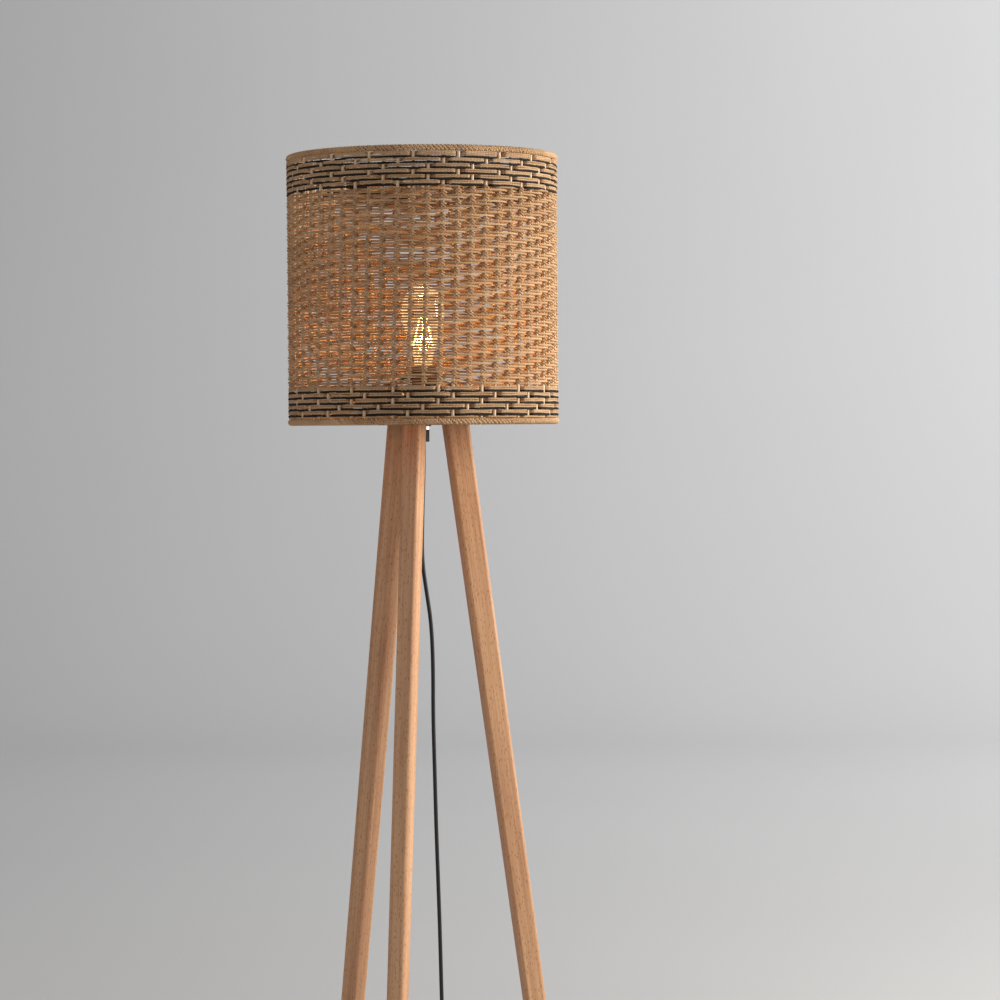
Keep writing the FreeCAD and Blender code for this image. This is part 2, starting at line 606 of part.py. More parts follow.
def shade_skin():
    """Woven wall, its two banded borders, the wound rims and the stakes."""
    low = RIM_HEIGHT + RIM_WRAP_HEIGHT
    high = RIM_TOP - RIM_WRAP_HEIGHT
    stake_circle = WEAVE_RADIUS - BAND_THICKNESS - STAKE_GAP - STAKE_RADIUS
    stakes = []
    for i in range(STAKE_COUNT):
        azimuth = STAKE_START + 360.0 * i / STAKE_COUNT
        foot = polar(stake_circle, azimuth, low)
        top = polar(stake_circle, azimuth + STAKE_TWIST, high)
        stakes.append(rod(foot, top, STAKE_RADIUS))
    return {
        "woven_panel": collar(WEAVE_RADIUS - PANEL_THICKNESS, WEAVE_RADIUS, BOTTOM_BAND_TOP, TOP_BAND_BOTTOM),
        "bottom_band": collar(WEAVE_RADIUS - BAND_THICKNESS, WEAVE_RADIUS, low, BOTTOM_BAND_TOP),
        "top_band": collar(WEAVE_RADIUS - BAND_THICKNESS, WEAVE_RADIUS, TOP_BAND_BOTTOM, high),
        "bottom_rim_wrap": rim_wrap(RIM_HEIGHT),
        "top_rim_wrap": rim_wrap(high),
        "stakes": group(stakes),
    }


# ---------------------------------------------------------------- bulb
def glass_curve(inset):
    """Side of the envelope from its neck to its crown, drawn in by an inset."""
    outline = [(CAP_RADIUS - 0.2, 0.0), (CAP_RADIUS + 0.2, 8.0), (17.0, 26.0), (0.75 * BULB_RADIUS, 46.0),
               (0.94 * BULB_RADIUS, 66.0), (BULB_RADIUS, 84.0), (0.94 * BULB_RADIUS, 99.0),
               (0.73 * BULB_RADIUS, 113.0), (0.42 * BULB_RADIUS, 121.5), (0.0, BULB_HEIGHT)]
    points = []
    for r, z in outline:
        drop = inset * z / BULB_HEIGHT
        points.append(Vector(max(r - inset, 0.0), 0, CAP_TOP + z - drop))
    curve = Part.BSplineCurve()
    curve.interpolate(Points=points, InitialTangent=Vector(0, 0, 1), FinalTangent=Vector(-1, 0, 0))
    return curve.toShape(), points[0], points[-1]


def bulb():
    """Screw cap with its insulator and tip, glass envelope, stem and filaments."""
    outer, outer_neck, outer_crown = glass_curve(0.0)
    inner, inner_neck, inner_crown = glass_curve(GLASS_WALL)
    outline = Part.Wire([outer, Part.LineSegment(outer_crown, inner_crown).toShape(), inner,
                         Part.LineSegment(inner_neck, outer_neck).toShape()])
    glass = Part.Face(outline).revolve(Vector(0, 0, 0), Vector(0, 0, 1), 360.0)
    cap = collar(CAP_RADIUS - CAP_WALL, CAP_RADIUS, CAP_BOTTOM, CAP_TOP)
    insulator = turned([(0, TIP_TOP), (TIP_RADIUS + INSULATOR_RIM, TIP_TOP),
                        (CAP_RADIUS - INSULATOR_SLOPE, CAP_BOTTOM), (0, CAP_BOTTOM)])
    seat = turned([(0, CAP_BOTTOM), (CAP_RADIUS - CAP_WALL, CAP_BOTTOM),
                   (CAP_RADIUS - CAP_WALL, CAP_BOTTOM + SEAT_HEIGHT), (0, CAP_BOTTOM + SEAT_HEIGHT)])
    tip = post(TIP_RADIUS, TIP_BOTTOM, TIP_TOP - TIP_GAP)
    stem = turned([(0, CAP_TOP), (STEM_FLARE_RADIUS, CAP_TOP), (STEM_RADIUS, CAP_TOP + STEM_FLARE_HEIGHT),
                   (STEM_RADIUS, CAP_TOP + STEM_HEIGHT), (0, CAP_TOP + STEM_HEIGHT + STEM_CROWN)])
    filaments = []
    for i in range(FILAMENT_COUNT):
        azimuth = FILAMENT_START + 360.0 * i / FILAMENT_COUNT
        foot = polar(FILAMENT_FOOT[0], azimuth, CAP_TOP + FILAMENT_FOOT[1])
        head = polar(FILAMENT_HEAD[0], azimuth, CAP_TOP + FILAMENT_HEAD[1])
        filaments.append(rod(foot, head, FILAMENT_RADIUS))
    return {
        "bulb_glass": glass,
        "bulb_cap": cap,
        "bulb_insulator": insulator.fuse(seat).removeSplitter(),
        "bulb_tip": tip,
        "bulb_stem": stem,
        "bulb_filaments": group(filaments),
    }


# ---------------------------------------------------------------- foot switch
def cable_sleeve(start_x):
    """Tapered rubber sleeve along +X that guards the cord where it leaves a housing."""
    axis = Vector(1, 0, 0)
    base = Vector(start_x, 0, 0)
    cone = Part.makeCone(SLEEVE_BUTT, SLEEVE_TIP, SLEEVE_LENGTH, base, axis)
    return cone.cut(Part.makeCylinder(CORD_RADIUS + CORD_GAP, SLEEVE_LENGTH, base, axis))


def foot_switch():
    """Floor switch in the cord: tray, cover, sprung button, contact block, screws and sleeves."""
    half = SWITCH_LENGTH / 2.0
    base = bar(SWITCH_LENGTH, SWITCH_WIDTH, SWITCH_CORNER, 0, SWITCH_BASE_HEIGHT)
    tray = bar(SWITCH_LENGTH - 2 * SWITCH_WALL, SWITCH_WIDTH - 2 * SWITCH_WALL,
               SWITCH_CORNER - SWITCH_WALL, SWITCH_WALL, SWITCH_BASE_HEIGHT)
    base = base.cut(tray)
    cover = bar(SWITCH_LENGTH, SWITCH_WIDTH, SWITCH_CORNER, SWITCH_BASE_HEIGHT, COVER_TOP)
    cover = cover.makeFillet(COVER_EDGE, level_edges(cover, COVER_TOP))
    room = bar(SWITCH_LENGTH - 2 * SWITCH_WALL, SWITCH_WIDTH - 2 * SWITCH_WALL,
               SWITCH_CORNER - SWITCH_WALL, SWITCH_BASE_HEIGHT, COVER_TOP - SWITCH_WALL)
    room = room.makeFillet(COVER_INNER_EDGE, level_edges(room, COVER_TOP - SWITCH_WALL))
    cover = cover.cut(room)
    screws = []
    boss_hole_top = COVER_TOP - 2.0 * SWITCH_WALL
    for side in (-1, 1):
        x = side * SCREW_OFFSET
        boss = post(SCREW_HEAD_RADIUS, SWITCH_BASE_HEIGHT, COVER_TOP - SWITCH_WALL, x, 0)
        cover = cover.fuse(boss)
        cover = cover.cut(post(SCREW_RADIUS + FIT_GAP, SWITCH_BASE_HEIGHT, boss_hole_top, x, 0))
        pillar = post(SCREW_HEAD_RADIUS + SWITCH_WALL, SWITCH_WALL, SWITCH_BASE_HEIGHT, x, 0)
        base = base.fuse(pillar).cut(post(SCREW_RADIUS + FIT_GAP, 0, SWITCH_BASE_HEIGHT, x, 0))
        base = base.cut(post(SCREW_HEAD_RADIUS + FIT_GAP, 0, SCREW_HEAD_TOP, x, 0))
        screw = post(SCREW_HEAD_RADIUS, SCREW_HEAD_TOP - SCREW_HEAD_HEIGHT, SCREW_HEAD_TOP, x, 0)
        screws.append(screw.fuse(post(SCREW_RADIUS, SCREW_HEAD_TOP, boss_hole_top - HOLE_EXTRA, x, 0)))
    end_hole = Part.makeCylinder(END_HOLE_RADIUS, 2 * half, Vector(-half, 0, SWITCH_CORD_HEIGHT),
                                 Vector(1, 0, 0))
    end_walls = bar(SWITCH_LENGTH, SWITCH_WIDTH, SWITCH_CORNER, 0, COVER_TOP)
    end_walls = end_walls.cut(bar(2 * (SCREW_OFFSET + SCREW_POCKET), SWITCH_WIDTH, 1.0, 0, COVER_TOP))
    cover = cover.cut(end_hole.common(end_walls))
    cover = cover.cut(post(BUTTON_RADIUS + BUTTON_CLEARANCE, COVER_TOP - 2 * SWITCH_WALL, COVER_TOP))
    stop = COVER_TOP - SWITCH_WALL - FLANGE_GAP
    flange_low = stop - BUTTON_FLANGE
    button = post(BUTTON_RADIUS, flange_low, COVER_TOP + BUTTON_RISE)
    button = button.makeFillet(BUTTON_EDGE, level_edges(button, COVER_TOP + BUTTON_RISE))
    button = button.fuse(post(BUTTON_RADIUS + BUTTON_FLANGE, flange_low, stop))
    block_top = SWITCH_WALL + BLOCK_SIZE[2]
    block = Part.makeBox(*BLOCK_SIZE, Vector(-BLOCK_SIZE[0] / 2.0, -BLOCK_SIZE[1] / 2.0, SWITCH_WALL))
    spring_low = block_top + SPRING_WIRE
    spring_high = flange_low - SPRING_WIRE - SPRING_GAP
    helix = Part.makeHelix(SPRING_PITCH, spring_high - spring_low, SPRING_RADIUS)
    wire_section = Part.Wire(Part.Circle(Vector(SPRING_RADIUS, 0, 0), Vector(0, 1, 0), SPRING_WIRE).toShape())
    spring = Part.Wire(helix).makePipeShell([wire_section], True, True)
    spring.translate(Vector(0, 0, spring_low))
    contacts = []
    for side in (-1, 1):
        x = side * (BLOCK_SIZE[0] / 2.0 + CONTACT_GAP + CONTACT_SIZE[0] / 2.0)
        corner = Vector(x - CONTACT_SIZE[0] / 2.0, -CONTACT_SIZE[1] / 2.0, SWITCH_WALL)
        strip = Part.makeBox(*CONTACT_SIZE, corner)
        contacts.append(strip)
    out_sleeve = cable_sleeve(half)
    out_sleeve.translate(Vector(0, 0, SWITCH_CORD_HEIGHT))
    in_sleeve = moved(out_sleeve, 180.0, 0, 0)
    tails = []
    for side in (-1, 1):
        inner_end = Vector(side * (SCREW_OFFSET + SCREW_POCKET), 0, SWITCH_CORD_HEIGHT)
        outer_end = Vector(side * (half + SLEEVE_LENGTH), 0, SWITCH_CORD_HEIGHT)
        tails.append(rod(inner_end, outer_end, CORD_RADIUS))
    nodes = {
        "switch_base": base.removeSplitter(),
        "switch_cover": cover.removeSplitter(),
        "switch_button": button.removeSplitter(),
        "switch_block": block,
        "switch_contacts": group(contacts),
        "switch_spring": spring,
        "switch_screws": group(screws),
        "switch_sleeves": group([out_sleeve, in_sleeve]),
        "switch_cord_ends": group(tails),
    }
    return {name: moved(shape, SWITCH_HEADING, *SWITCH_CENTRE) for name, shape in nodes.items()}


def switch_end(side):
    """Tip of the sleeve where the cord enters (-1) or leaves (1) the foot switch."""
    reach = SWITCH_LENGTH / 2.0 + SLEEVE_LENGTH
    tip = polar(side * reach, SWITCH_HEADING, SWITCH_CORD_HEIGHT)
    return (tip.x + SWITCH_CENTRE[0], tip.y + SWITCH_CENTRE[1], tip.z)


# ---------------------------------------------------------------- plug
def plug():
    """Flat two-pin plug with its tapered sleeve, lying on the floor."""
    centre = PLUG_THICKNESS / 2.0
    along = FreeCAD.Rotation(Vector(0, 1, 0), 90.0)

    def section(x, width, thickness, corner):
        wire = rounded_rectangle(thickness, width, corner)
        wire.Placement = FreeCAD.Placement(Vector(x, 0, centre), along)
        return wire

    sleeve = cable_sleeve(0.0)
    sleeve = sleeve.mirror(Vector(SLEEVE_LENGTH / 2.0, 0, 0), Vector(1, 0, 0))
    sleeve.translate(Vector(0, 0, centre))
    neck = SLEEVE_LENGTH
    waist = neck + PLUG_TAPER_LENGTH
    face = neck + PLUG_LENGTH
    body = Part.makeLoft([section(neck, PLUG_NECK_WIDTH, PLUG_NECK_THICKNESS, PLUG_CORNER),
                          section(waist, PLUG_WIDTH, PLUG_THICKNESS, PLUG_CORNER)], True, True)
    body = body.fuse(Part.Face(section(waist, PLUG_WIDTH, PLUG_THICKNESS, PLUG_CORNER)).extrude(
        Vector(face - waist, 0, 0)))
    cord_start = Vector(neck, 0, centre)
    cord_stop = Vector(neck + PLUG_CORD_DEPTH, 0, centre)
    body = body.cut(rod(cord_start, cord_stop, CORD_RADIUS + CORD_GAP))
    pins = []
    for side in (-1, 1):
        y = side * PIN_SPACING / 2.0
        root = rod(Vector(face - PIN_ROOT, y, centre), Vector(face, y, centre), PIN_ROOT_RADIUS)
        pin = rod(Vector(face, y, centre), Vector(face + PIN_LENGTH, y, centre), PIN_RADIUS)
        tip_edges = [e for e in pin.Edges if abs(e.BoundBox.XMin - face - PIN_LENGTH) < 1e-4]
        pins.append(pin.makeFillet(PIN_TIP, tip_edges).fuse(root).removeSplitter())
        body = body.cut(root)
    nodes = {
        "plug_body": body.removeSplitter(),
        "plug_pins": group(pins),
        "plug_sleeve": sleeve,
        "plug_cord_end": rod(Vector(0, 0, centre), cord_stop, CORD_RADIUS),
    }
    return {name: moved(shape, PLUG_HEADING, *PLUG_START) for name, shape in nodes.items()}


# ---------------------------------------------------------------- cord
def cord():
    """Free cord: the drop to the foot switch, the lead to the coil, the coil and its tail."""
    lane = 2.0 * CORD_RADIUS
    coil_x, coil_y = COIL_CENTRE
    inner = COIL_RADIUS - COIL_LANES * CORD_RADIUS
    outer = COIL_RADIUS + COIL_LANES * CORD_RADIUS
    coil = collar(inner, outer, 0, COIL_LAYERS * lane)
    coil.translate(Vector(coil_x, coil_y, 0))
    last_lane = COIL_RADIUS + (COIL_LANES - 1) * CORD_RADIUS
    coil_start = (coil_x + last_lane, coil_y, CORD_RADIUS)
    coil_end = (coil_x + last_lane, coil_y, (2 * COIL_LAYERS - 1) * CORD_RADIUS)
    plug_entry = (PLUG_START[0], PLUG_START[1], PLUG_THICKNESS / 2.0)
    return {
        "cord_drop": cord_tube("cord_drop", [(0, 0, CORD_EXIT)] + DROP_ROUTE + [switch_end(-1)]),
        "cord_lead": cord_tube("cord_lead", [switch_end(1)] + LEAD_ROUTE + [coil_start]).cut(coil),
        "cord_coil": coil,
        "cord_tail": cord_tube("cord_tail", [coil_end] + TAIL_ROUTE + [plug_entry]).cut(coil),
    }


# ---------------------------------------------------------------- export
os.makedirs("parts", exist_ok=True)
nodes = {}
for build in (tripod, hub, hub_fittings, lampholder, shade_frame, shade_skin, bulb, foot_switch, plug, cord):
    nodes.update(build())
for name, shape in nodes.items():
    if not shape.isValid() or not shape.Solids:
        print("check this shape:", name)
    shape.exportStep("parts/%s.step" % name)
print("%d nodes written" % len(nodes))
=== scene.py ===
import bpy
import math
import numpy as np
from mathutils import Matrix, Vector


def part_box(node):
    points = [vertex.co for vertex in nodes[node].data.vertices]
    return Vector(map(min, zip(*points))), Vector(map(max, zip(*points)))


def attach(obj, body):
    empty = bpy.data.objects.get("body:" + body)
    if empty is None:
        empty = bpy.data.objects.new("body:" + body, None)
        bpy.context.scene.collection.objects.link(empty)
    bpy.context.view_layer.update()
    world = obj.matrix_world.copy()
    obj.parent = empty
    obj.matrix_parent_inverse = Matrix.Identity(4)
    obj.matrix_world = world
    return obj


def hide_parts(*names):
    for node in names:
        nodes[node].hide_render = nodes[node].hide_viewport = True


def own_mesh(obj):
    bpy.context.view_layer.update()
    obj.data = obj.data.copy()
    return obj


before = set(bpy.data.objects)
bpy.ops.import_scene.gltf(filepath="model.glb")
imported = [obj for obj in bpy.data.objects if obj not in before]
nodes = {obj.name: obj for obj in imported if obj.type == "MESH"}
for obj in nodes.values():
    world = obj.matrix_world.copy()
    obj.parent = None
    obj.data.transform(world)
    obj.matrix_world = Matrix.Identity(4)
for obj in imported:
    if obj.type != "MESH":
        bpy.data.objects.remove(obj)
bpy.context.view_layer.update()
scene = bpy.context.scene

# ------------------------------------------------------------------ camera
# A long lens level with the shade's lower rim, a little to the right of the front leg.
# The lamp stands left of the frame's middle, and its feet are below the frame.
rim_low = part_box("bottom_rim_wrap")[0].z
view_turn = math.radians(16.1)
toward_camera = Vector((math.sin(view_turn), -math.cos(view_turn), 0.0))
camera_right = Vector((math.cos(view_turn), math.sin(view_turn), 0.0))
camera_reach = 4.673
camera_place = toward_camera * camera_reach + Vector((0.0, 0.0, rim_low - 0.0113))
camera_aim = camera_right * 0.1127 + Vector((0.0, 0.0, rim_low - 0.1126))
camera_roll = math.radians(-0.42)
camera = bpy.data.objects.new("camera", bpy.data.cameras.new("camera"))
camera.data.lens = 112.9
camera.data.sensor_width = 36.0
camera.data.clip_end = 75.0


def facing(place, aim, roll=0.0):
    """Matrix of something at a place that looks at an aim."""
    turn = (aim - place).to_track_quat("-Z", "Y").to_matrix().to_4x4()
    return Matrix.Translation(place) @ turn @ Matrix.Rotation(roll, 4, "Z")


camera.matrix_world = facing(camera_place, camera_aim, camera_roll)
scene.collection.objects.link(camera)
scene.camera = camera


# ------------------------------------------------------------------ cord
# Black round two-core cord, 6 mm, with a smooth PVC sheath that shows faint lengthwise drawing marks.
# It hangs from the grip to the foot switch; the rest is wound in a coil inside the tripod's feet.
class Wire:
    """One output of a shader node. Sums, products and the like of wires add Math nodes."""

    def __init__(self, socket):
        self.socket = socket

    def maths(self, operation, *values):
        made = self.socket.id_data.nodes.new("ShaderNodeMath")
        made.operation = operation
        for place, value in enumerate(values):
            if isinstance(value, Wire):
                self.socket.id_data.links.new(value.socket, made.inputs[place])
            else:
                made.inputs[place].default_value = value
        return Wire(made.outputs[0])

    def __add__(self, other):
        return self.maths("ADD", self, other)

    def __sub__(self, other):
        return self.maths("SUBTRACT", self, other)

    def __rsub__(self, other):
        return self.maths("SUBTRACT", other, self)

    def __mul__(self, other):
        return self.maths("MULTIPLY", self, other)

    def sine(self):
        return self.maths("SINE", self)

    __radd__ = __add__
    __rmul__ = __mul__


class Finish:
    """A material with one Principled shader; keywords set the shader's own sockets."""

    def __init__(self, name, **sockets):
        self.material = bpy.data.materials.new(name)
        self.material.use_nodes = True
        self.tree = self.material.node_tree
        self.shader = self.tree.nodes["Principled BSDF"]
        for socket, value in sockets.items():
            self.shader.inputs[socket.replace("_", " ")].default_value = value

    def node(self, kind, settings=None, inputs=None, output=0):
        """Adds any node: its settings first, then its sockets' values or wires."""
        made = self.tree.nodes.new("ShaderNode" + kind)
        for name, value in (settings or {}).items():
            setattr(made, name, value)
        for name, value in (inputs or {}).items():
            if isinstance(value, Wire):
                self.tree.links.new(value.socket, made.inputs[name])
            else:
                made.inputs[name].default_value = value
        return Wire(made.outputs[output])

    def noise(self, scale, detail=2.0, stretch=(1.0, 1.0, 1.0), turn=(0.0, 0.0, 0.0)):
        """Noise in metres, stretched along axes that may be turned."""
        where = self.node("TexCoord", {}, {}, "Object")
        turned = self.node("Mapping", {"vector_type": "TEXTURE"}, {"Vector": where, "Rotation": turn})
        spread = self.node("Mapping", {}, {"Vector": turned, "Scale": stretch})
        return self.node("TexNoise", {}, {"Vector": spread, "Scale": scale, "Detail": detail})

    def blend(self, share, first, second):
        """Colour between two colours or wires; a plain colour is three linear parts."""
        first, second = (c if isinstance(c, Wire) else (*c, 1.0) for c in (first, second))
        return self.node("Mix", {"data_type": "RGBA"}, {0: share, 6: first, 7: second}, 2)

    def feed(self, socket, wire):
        self.tree.links.new(wire.socket, self.shader.inputs[socket])

    def bump(self, height, distance, strength=1.0):
        relief = {"Height": height, "Distance": distance, "Strength": strength}
        self.feed("Normal", self.node("Bump", {}, relief))

    def on(self, *pieces):
        for piece in pieces:
            piece = nodes[piece] if isinstance(piece, str) else piece
            piece.data.materials.clear()
            piece.data.materials.append(self.material)


cord_half = 0.003
sheath = Finish("cord_sheath", Specular_IOR_Level=0.45)
marks = sheath.noise(900.0, 3.0, (1.0, 1.0, 0.15))
sheath.feed("Base Color", sheath.blend(marks, (0.007, 0.007, 0.008), (0.019, 0.018, 0.018)))
sheath.feed("Roughness", marks * 0.16 + 0.34)
sheath.bump(marks, 0.00005, 0.6)
sheath.on("cord_riser", "switch_cord_ends", "plug_cord_end")


def laid_cord(name, route, stands_for):
    """A round cord whose smooth line is drawn by its route's points."""
    curve = bpy.data.curves.new(name, "CURVE")
    curve.dimensions = "3D"
    curve.bevel_depth = 1.0
    curve.bevel_resolution = 4
    curve.use_fill_caps = True
    spline = curve.splines.new("NURBS")
    spline.points.add(len(route) - 1)
    for point, place in zip(spline.points, route):
        point.co = (*place, 1.0)
        point.radius = cord_half
    spline.order_u = 3
    spline.use_endpoint_u = True
    spline.resolution_u = 10
    piece = bpy.data.objects.new(name, curve)
    scene.collection.objects.link(piece)
    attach(piece, "root")
    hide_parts(*stands_for)
    sheath.on(piece)


switch_place = Vector((0.084, -0.068, 0.010))
switch_heading = math.radians(-120.0)
sleeve_reach = Vector((math.cos(switch_heading), math.sin(switch_heading), 0.0)) * 0.065
grip_exit = (0.0, 0.0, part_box("cord_grip")[0].z)
drop_route = [
    grip_exit,
    (-0.0008, 0.0006, 0.935),
    (-0.0037, 0.0020, 0.870),
    (-0.0060, 0.0045, 0.800),
    (-0.0004, 0.0087, 0.752),
    (0.0059, 0.0121, 0.703),
    (0.0077, 0.0137, 0.640),
    (0.0074, 0.0125, 0.565),
    (0.0096, 0.0111, 0.485),
    (0.0113, 0.0105, 0.405),
    (0.0140, 0.0092, 0.325),
    (0.0161, 0.0098, 0.245),
    (0.0169, 0.0122, 0.165),
    (0.0176, 0.0144, 0.108),
    (0.0200, 0.0170, 0.066),
    (0.0280, 0.0225, 0.0375),
    (0.0445, 0.0335, 0.0155),
    (0.0660, 0.0455, 0.0046),
    (0.0890, 0.0520, 0.0030),
    (0.1110, 0.0450, 0.0030),
    (0.1248, 0.0276, 0.0038),
    (0.1264, 0.0058, 0.0068),
    tuple(switch_place - sleeve_reach),
]
laid_cord("cord_to_switch", drop_route,
          ("cord_drop",))

lead_route = [
    tuple(switch_place + sleeve_reach),
    (0.0415, -0.1418, 0.0068),
    (0.0225, -0.1515, 0.0034),
    (0.0010, -0.1515, 0.0030),
    (-0.0175, -0.1405, 0.0030),
    (-0.0285, -0.1215, 0.0030),
    (-0.0345, -0.0980, 0.0030),
    (-0.0395, -0.0720, 0.0030),
]
coil_x, coil_y = -0.080, -0.045
coil_lanes = (0.039, 0.033, 0.027, 0.027, 0.033, 0.039)
turn_points = 16
change_share = 0.28


def ease(share):
    """Smooth step from 0 to 1."""
    share = min(max(share, 0.0), 1.0)
    return share * share * (3.0 - 2.0 * share)


coil_route = []
for step in range(len(coil_lanes) * turn_points):
    turns = step / turn_points
    lane, share = int(turns), turns % 1.0
    change = ease((share - 1.0 + change_share) / change_share)
    next_lane = min(lane + 1, len(coil_lanes) - 1)
    coil_radius = coil_lanes[lane] + (coil_lanes[next_lane] - coil_lanes[lane]) * change
    climb = ease((turns - len(coil_lanes) / 2.0 + change_share) / change_share)
    angle = 2.0 * math.pi * turns
    coil_route.append((coil_x + coil_radius * math.cos(angle), coil_y + coil_radius * math.sin(angle),
                       cord_half * (1.0 + 2.0 * climb)))
tail_route = [
    (-0.0410, -0.0450, 0.0090),
    (-0.0406, -0.0200, 0.0082),
    (-0.0394, 0.0010, 0.0050),
    (-0.0366, 0.0220, 0.0032),
    (-0.0336, 0.0420, 0.0048),
    (-0.0310, 0.0640, 0.00685),
]
laid_cord("cord_to_plug", lead_route + coil_route + tail_route,
          ("cord_lead", "cord_coil", "cord_tail"))


# ------------------------------------------------------------------ beech legs, disc and dowels
# Steamed beech, planed and oiled: straight grain along each leg, short dark flecks and faint bands.
# The legs are screwed and dowelled under a disc turned from the same wood; its darker, redder colour is
# painted shade.
def beech(name, pale, deep, turn):
    """Beech whose grain runs along the turned Z axis."""
    wood = Finish(name, Specular_IOR_Level=0.35)
    bands = wood.noise(1.0, 3.0, (70.0, 70.0, 2.2), turn)
    streaks = wood.noise(1.0, 4.0, (420.0, 420.0, 9.0), turn)
    pores = wood.noise(1.0, 2.0, (1500.0, 1500.0, 70.0), turn)
    where = wood.node("TexCoord", {}, {}, "Object")
    turned = wood.node("Mapping", {"vector_type": "TEXTURE"}, {"Vector": where, "Rotation": turn})
    spread = wood.node("Mapping", {}, {"Vector": turned, "Scale": (430.0, 430.0, 105.0)})
    cells = wood.node("TexVoronoi", {}, {"Vector": spread, "Scale": 1.0})
    flecks = wood.node("MapRange", {}, {"Value": cells, "From Min": 0.14, "From Max": 0.30, "To Min": 1.0,
                                        "To Max": 0.0})
    tone = wood.node("MapRange", {}, {"Value": bands * 0.55 + streaks * 0.45,
                                      "From Min": 0.36, "From Max": 0.64})
    grain = wood.blend(tone, pale, deep)
    brown = tuple(part * share for part, share in zip(deep, (0.48, 0.40, 0.34)))
    flecked = wood.blend(flecks * 0.75, grain, brown)
    wood.feed("Base Color", wood.blend((pores - 0.35) * 0.55, flecked, deep))
    wood.feed("Roughness", pores * 0.20 + 0.40)
    wood.bump(streaks * 0.5 + pores * 0.4 - flecks * 0.7, 0.00016, 0.6)
    return wood


leg_lean = math.radians(-7.6)
for leg, heading in (("leg_front", -90.0), ("leg_right", 30.0), ("leg_left", 150.0)):
    beech("beech_" + leg, (0.73, 0.43, 0.230), (0.49, 0.235, 0.118),
          (0.0, leg_lean, math.radians(heading))).on(leg)
flat_grain = (0.0, math.radians(90.0), math.radians(15.0))
# The disc's darker, redder colours are painted shade for its place in the lampshade's shadow.
beech("beech_disc", (0.44, 0.19, 0.085), (0.25, 0.090, 0.038), flat_grain).on("hub_disc", "leg_dowels")

# ------------------------------------------------------------------ felt pads
# Discs of pressed wool felt, brown-grey, glued under the three feet.
felt = Finish("pad_felt", Roughness=0.95)
fluff = felt.noise(1400.0, 4.0)
felt.feed("Base Color", felt.blend(fluff, (0.05, 0.045, 0.04), (0.16, 0.14, 0.12)))
felt.bump(fluff, 0.0004)
felt.on("foot_pads")

# ------------------------------------------------------------------ screws, washers, nut and threaded tube
# Bright zinc-plated steel with fine turning marks; the washer under the disc and the inserts are blackened.
# The tube clamps the disc between the lampholder above and the hexagon nut and cord grip below.
zinc = Finish("zinc_plate", Metallic=1.0)
turning = zinc.noise(900.0, 3.0, (0.2, 0.2, 1.0))
zinc.feed("Base Color", zinc.blend(turning, (0.38, 0.38, 0.37), (0.55, 0.54, 0.52)))
zinc.feed("Roughness", turning * 0.22 + 0.26)
zinc.bump(turning, 0.00003, 0.5)
zinc.on("leg_bolts", "leg_washers", "threaded_tube", "hex_nut", "upper_washer", "grip_screw",
        "switch_screws")
blackened = Finish("blackened_steel", Metallic=0.8)
wear = blackened.noise(300.0, 4.0)
blackened.feed("Base Color", blackened.blend(wear, (0.025, 0.025, 0.025), (0.09, 0.085, 0.08)))
blackened.feed("Roughness", wear * 0.2 + 0.35)
blackened.on("lower_washer", "leg_inserts")


# ------------------------------------------------------------------ cord grip and lampholder
# Moulded black plastic: a nylon grip whose side screw pinches the cord, and a two-part phenolic lampholder.
# Two fluted rings on the holder clamp the shade's wire fitter between them.
def moulding(name, black, rough, grain, depth):
    """Black plastic with a spark-eroded surface and faint cloudy flow."""
    plastic = Finish(name, Specular_IOR_Level=0.4)
    spark = plastic.noise(grain, 3.0)
    flow = plastic.noise(60.0)
    cloudy = (black * 1.8, black * 1.75, black * 1.7)
    plastic.feed("Base Color", plastic.blend(flow, (black, black, black), cloudy))
    plastic.feed("Roughness", spark * 0.15 + rough)
    plastic.bump(spark, depth, 0.7)
    return plastic


moulding("grip_nylon", 0.004, 0.45, 1500.0, 0.00006).on("cord_grip")
phenolic = moulding("holder_phenolic", 0.010, 0.30, 900.0, 0.00004)
phenolic.on("holder_base", "holder_body", "shade_ring_lower", "shade_ring_upper")

# ------------------------------------------------------------------ contacts, insulators and cores
# Brass shell, leaf and terminals on an unglazed steatite block; the screws, cap, tip, pins and spring
# are nickel-plated. The two cores are brown-black insulated wires that end in the terminals.
brass = Finish("drawn_brass", Metallic=1.0)
dulling = brass.noise(400.0, 3.0)
brass.feed("Base Color", brass.blend(dulling, (0.60, 0.40, 0.15), (0.82, 0.62, 0.30)))
brass.feed("Roughness", dulling * 0.25 + 0.2)
brass.on("thread_shell", "centre_contact", "terminals", "switch_contacts")
nickel = Finish("nickel_plate", Metallic=1.0)
haze = nickel.noise(350.0, 3.0)
nickel.feed("Base Color", nickel.blend(haze, (0.55, 0.53, 0.48), (0.76, 0.74, 0.69)))
nickel.feed("Roughness", haze * 0.2 + 0.12)
nickel.on("bulb_cap", "bulb_tip", "terminal_screws", "plug_pins", "switch_spring")
steatite = Finish("steatite", Roughness=0.7)
speckle = steatite.noise(500.0, 3.0)
steatite.feed("Base Color", steatite.blend(speckle, (0.60, 0.56, 0.46), (0.78, 0.75, 0.67)))
steatite.bump(speckle, 0.00005)
steatite.on("holder_insulator")
insulation = Finish("core_insulation", Roughness=0.35)
smear = insulation.noise(300.0)
insulation.feed("Base Color", insulation.blend(smear, (0.09, 0.04, 0.018), (0.17, 0.085, 0.045)))
insulation.on("core_wires")

